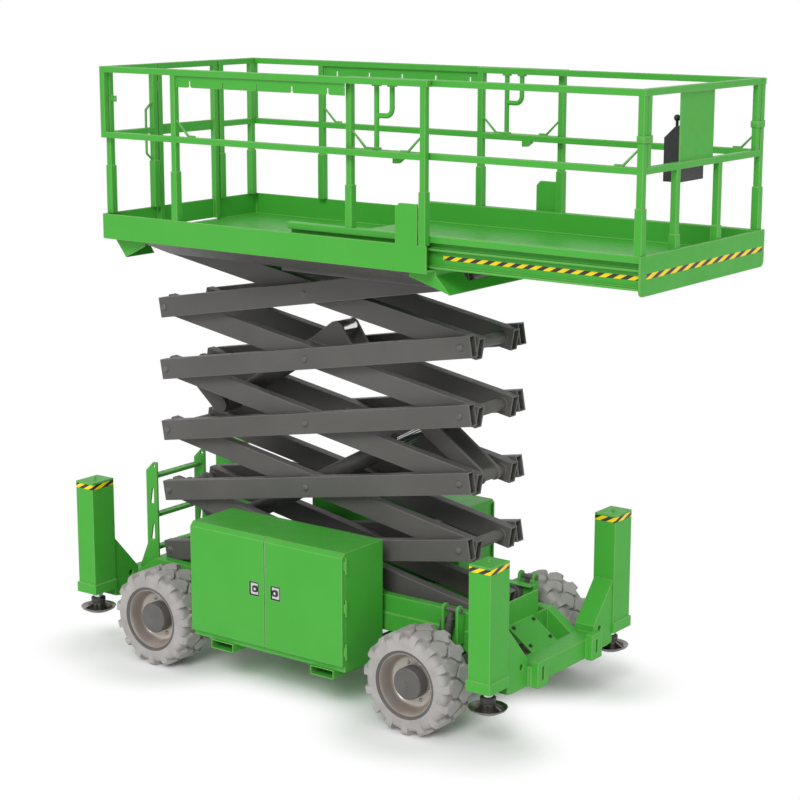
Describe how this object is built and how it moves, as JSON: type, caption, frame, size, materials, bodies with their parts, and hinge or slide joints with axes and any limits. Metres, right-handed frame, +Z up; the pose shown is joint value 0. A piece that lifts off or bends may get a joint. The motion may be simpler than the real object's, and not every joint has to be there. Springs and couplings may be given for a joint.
{
  "type": "rough-terrain scissor lift",
  "caption": "Wheeled scissor lift: green chassis with side cabinets and stabiliser jacks, stacked scissor arms and a guarded platform with a sliding extension deck and entry gate.",
  "frame": {"origin": "on the ground under the middle of the machine's whole length and width", "axes": "+Z up; +X along the machine towards the sliding end of the platform; +Y to the far side of the pictured view"},
  "size_m": [4.526, 1.75, 4.1315],
  "materials": {
    "green_paint": "bright green powder coat",
    "grey_paint": "dark warm grey paint",
    "tyre_rubber": "light grey non-marking rubber",
    "rim_metal": "silver rim paint",
    "chrome": "hard chrome",
    "dark_metal": "dark machinery paint",
    "dark_plastic": "black moulded plastic"
  },
  "bodies": {
    "chassis": {"chassis_frame": "green_paint", "jack_beams": "green_paint", "jack_columns": "green_paint", "cabinets": "green_paint", "battery_packs": "dark_plastic", "ladder": "green_paint", "rear_axle": "dark_metal", "front_axle": "dark_metal", "oscillation_cylinders": "green_paint"},
    "door_near_rear": {"door_near_rear": "green_paint"},
    "door_near_front": {"door_near_front": "green_paint"},
    "door_far_rear": {"door_far_rear": "green_paint"},
    "door_far_front": {"door_far_front": "green_paint"},
    "knuckle_near": {"knuckle_near": "dark_metal"},
    "knuckle_far": {"knuckle_far": "dark_metal"},
    "tie_rod": {"tie_rod": "dark_metal"},
    "wheel_rear_near": {"tyre_rear_near": "tyre_rubber", "rim_rear_near": "rim_metal"},
    "jack_foot_rear_near": {"jack_foot_rear_near": "chrome"},
    "wheel_rear_far": {"tyre_rear_far": "tyre_rubber", "rim_rear_far": "rim_metal"},
    "jack_foot_rear_far": {"jack_foot_rear_far": "chrome"},
    "wheel_front_near": {"tyre_front_near": "tyre_rubber", "rim_front_near": "rim_metal"},
    "jack_foot_front_near": {"jack_foot_front_near": "chrome"},
    "wheel_front_far": {"tyre_front_far": "tyre_rubber", "rim_front_far": "rim_metal"},
    "jack_foot_front_far": {"jack_foot_front_far": "chrome"},
    "outer_arms_1": {"outer_arms_1": "grey_paint"},
    "inner_arms_1": {"inner_arms_1": "grey_paint"},
    "outer_arms_2": {"outer_arms_2": "grey_paint"},
    "inner_arms_2": {"inner_arms_2": "grey_paint"},
    "outer_arms_3": {"outer_arms_3": "grey_paint"},
    "inner_arms_3": {"inner_arms_3": "grey_paint"},
    "outer_arms_4": {"outer_arms_4": "grey_paint"},
    "inner_arms_4": {"inner_arms_4": "grey_paint"},
    "outer_arms_5": {"outer_arms_5": "grey_paint"},
    "inner_arms_5": {"inner_arms_5": "grey_paint"},
    "lower_barrel": {"lower_barrel": "dark_metal"},
    "lower_rod": {"lower_rod": "chrome"},
    "upper_barrel": {"upper_barrel": "dark_metal"},
    "upper_rod": {"upper_rod": "chrome"},
    "platform": {"platform_deck": "green_paint", "platform_subframe": "grey_paint", "platform_guard": "green_paint"},
    "entry_gate": {"entry_gate": "green_paint"},
    "extension": {"extension_deck": "green_paint", "extension_guard": "green_paint", "control_box": "dark_plastic"}
  },
  "joints": [
    {"name": "scissor_lift", "type": "hinge", "parent": "chassis", "child": "outer_arms_5", "pos_m": [-1.823, 0, 0.655], "axis": [0, -1, 0], "range_deg": [-6.13, 50.67]},
    {"name": "inner_5_pivot", "type": "hinge", "parent": "outer_arms_5", "child": "inner_arms_5", "pos_m": [-0.55232, 0, 0.87745], "axis": [0, -1, 0], "range_deg": [-101.36, 12.28]},
    {"name": "inner_4_pivot", "type": "hinge", "parent": "outer_arms_5", "child": "inner_arms_4", "pos_m": [0.71835, 0, 1.09991], "axis": [0, -1, 0], "range_deg": [-101.36, 12.28]},
    {"name": "outer_4_pivot", "type": "hinge", "parent": "inner_arms_4", "child": "outer_arms_4", "pos_m": [-0.55232, 0, 1.32236], "axis": [0, -1, 0], "range_deg": [-12.28, 101.36]},
    {"name": "outer_3_pivot", "type": "hinge", "parent": "inner_arms_4", "child": "outer_arms_3", "pos_m": [-1.823, 0, 1.54482], "axis": [0, -1, 0], "range_deg": [-12.28, 101.36]},
    {"name": "inner_3_pivot", "type": "hinge", "parent": "outer_arms_3", "child": "inner_arms_3", "pos_m": [-0.55232, 0, 1.76727], "axis": [0, -1, 0], "range_deg": [-101.36, 12.28]},
    {"name": "inner_2_pivot", "type": "hinge", "parent": "outer_arms_3", "child": "inner_arms_2", "pos_m": [0.71835, 0, 1.98972], "axis": [0, -1, 0], "range_deg": [-101.36, 12.28]},
    {"name": "outer_2_pivot", "type": "hinge", "parent": "inner_arms_2", "child": "outer_arms_2", "pos_m": [-0.55232, 0, 2.21218], "axis": [0, -1, 0], "range_deg": [-12.28, 101.36]},
    {"name": "outer_1_pivot", "type": "hinge", "parent": "inner_arms_2", "child": "outer_arms_1", "pos_m": [-1.823, 0, 2.43463], "axis": [0, -1, 0], "range_deg": [-12.28, 101.36]},
    {"name": "inner_1_pivot", "type": "hinge", "parent": "outer_arms_1", "child": "inner_arms_1", "pos_m": [-0.55232, 0, 2.65708], "axis": [0, -1, 0], "range_deg": [-101.36, 12.28]},
    {"name": "platform_pivot", "type": "hinge", "parent": "inner_arms_1", "child": "platform", "pos_m": [-1.823, 0, 2.87954], "axis": [0, -1, 0], "range_deg": [-6.15, 50.69]},
    {"name": "lower_cylinder_pivot", "type": "hinge", "parent": "inner_arms_5", "child": "lower_barrel", "pos_m": [-1.51766, 0, 0.84341], "axis": [0, -1, 0], "range_deg": [-11.06, 91.25]},
    {"name": "lower_cylinder_slide", "type": "slide", "parent": "lower_barrel", "child": "lower_rod", "axis": [0.8821, 0, 0.4711], "range_m": [-0.15726, 1.29626]},
    {"name": "upper_cylinder_pivot", "type": "hinge", "parent": "inner_arms_3", "child": "upper_barrel", "pos_m": [-1.51766, 0, 1.73323], "axis": [0, -1, 0], "range_deg": [-9.8, 80.83]},
    {"name": "upper_cylinder_slide", "type": "slide", "parent": "upper_barrel", "child": "upper_rod", "axis": [0.8498, 0, 0.5271], "range_m": [-0.06434, 0.5282]},
    {"name": "door_near_rear_swing", "type": "hinge", "parent": "chassis", "child": "door_near_rear", "pos_m": [-1.116, -0.845, 0.745], "axis": [0, 0, -1], "range_deg": [0, 100]},
    {"name": "door_near_front_swing", "type": "hinge", "parent": "chassis", "child": "door_near_front", "pos_m": [0.207, -0.845, 0.745], "axis": [0, 0, 1], "range_deg": [0, 100]},
    {"name": "door_far_rear_swing", "type": "hinge", "parent": "chassis", "child": "door_far_rear", "pos_m": [-1.116, 0.845, 0.745], "axis": [0, 0, 1], "range_deg": [0, 100]},
    {"name": "door_far_front_swing", "type": "hinge", "parent": "chassis", "child": "door_far_front", "pos_m": [0.207, 0.845, 0.745], "axis": [0, 0, -1], "range_deg": [0, 100]},
    {"name": "steering", "type": "hinge", "parent": "chassis", "child": "knuckle_near", "pos_m": [0.694, -0.52, 0.34], "axis": [0, 0, 1], "range_deg": [-22, 22]},
    {"name": "far_knuckle_pivot", "type": "hinge", "parent": "chassis", "child": "knuckle_far", "pos_m": [0.694, 0.52, 0.34], "axis": [0, 0, 1], "range_deg": [-22.02, 22.02]},
    {"name": "tie_rod_pivot", "type": "hinge", "parent": "knuckle_near", "child": "tie_rod", "pos_m": [0.544, -0.52, 0.258], "axis": [0, 0, 1], "range_deg": [-22.02, 22.02]},
    {"name": "wheel_rear_near_spin", "type": "hinge", "parent": "chassis", "child": "wheel_rear_near", "pos_m": [-1.506, -0.7225, 0.34], "axis": [0, 1, 0], "continuous": true},
    {"name": "wheel_front_near_spin", "type": "hinge", "parent": "knuckle_near", "child": "wheel_front_near", "pos_m": [0.694, -0.7225, 0.34], "axis": [0, 1, 0], "continuous": true},
    {"name": "wheel_rear_far_spin", "type": "hinge", "parent": "chassis", "child": "wheel_rear_far", "pos_m": [-1.506, 0.7225, 0.34], "axis": [0, 1, 0], "continuous": true},
    {"name": "wheel_front_far_spin", "type": "hinge", "parent": "knuckle_far", "child": "wheel_front_far", "pos_m": [0.694, 0.7225, 0.34], "axis": [0, 1, 0], "continuous": true},
    {"name": "jack_rear_near", "type": "slide", "parent": "chassis", "child": "jack_foot_rear_near", "axis": [0, 0, -1], "range_m": [0, 0.45]},
    {"name": "jack_rear_far", "type": "slide", "parent": "chassis", "child": "jack_foot_rear_far", "axis": [0, 0, -1], "range_m": [0, 0.45]},
    {"name": "jack_front_near", "type": "slide", "parent": "chassis", "child": "jack_foot_front_near", "axis": [0, 0, -1], "range_m": [0, 0.45]},
    {"name": "jack_front_far", "type": "slide", "parent": "chassis", "child": "jack_foot_front_far", "axis": [0, 0, -1], "range_m": [0, 0.45]},
    {"name": "gate_swing", "type": "hinge", "parent": "platform", "child": "entry_gate", "pos_m": [-1.88, -0.272, 3.6], "axis": [0, 0, -1], "range_deg": [0, 90]},
    {"name": "extension_slide", "type": "slide", "parent": "platform", "child": "extension", "axis": [1, 0, 0], "range_m": [-1.435, 0]}
  ],
  "couplings": [
    {"joint": "inner_5_pivot", "follows": "scissor_lift", "ratio": -2},
    {"joint": "inner_4_pivot", "follows": "scissor_lift", "ratio": -2},
    {"joint": "outer_4_pivot", "follows": "scissor_lift", "ratio": 2},
    {"joint": "outer_3_pivot", "follows": "scissor_lift", "ratio": 2},
    {"joint": "inner_3_pivot", "follows": "scissor_lift", "ratio": -2},
    {"joint": "inner_2_pivot", "follows": "scissor_lift", "ratio": -2},
    {"joint": "outer_2_pivot", "follows": "scissor_lift", "ratio": 2},
    {"joint": "outer_1_pivot", "follows": "scissor_lift", "ratio": 2},
    {"joint": "inner_1_pivot", "follows": "scissor_lift", "ratio": -2},
    {"joint": "platform_pivot", "follows": "scissor_lift", "ratio": 1},
    {"joint": "lower_cylinder_pivot", "follows": "scissor_lift", "ratio": 1.8005},
    {"joint": "lower_cylinder_slide", "follows": "scissor_lift", "m_per_rad": 1.4652},
    {"joint": "upper_cylinder_pivot", "follows": "scissor_lift", "ratio": 1.5948},
    {"joint": "upper_cylinder_slide", "follows": "scissor_lift", "m_per_rad": 0.5967},
    {"joint": "far_knuckle_pivot", "follows": "steering", "ratio": 1},
    {"joint": "tie_rod_pivot", "follows": "steering", "ratio": -1}
  ]
}
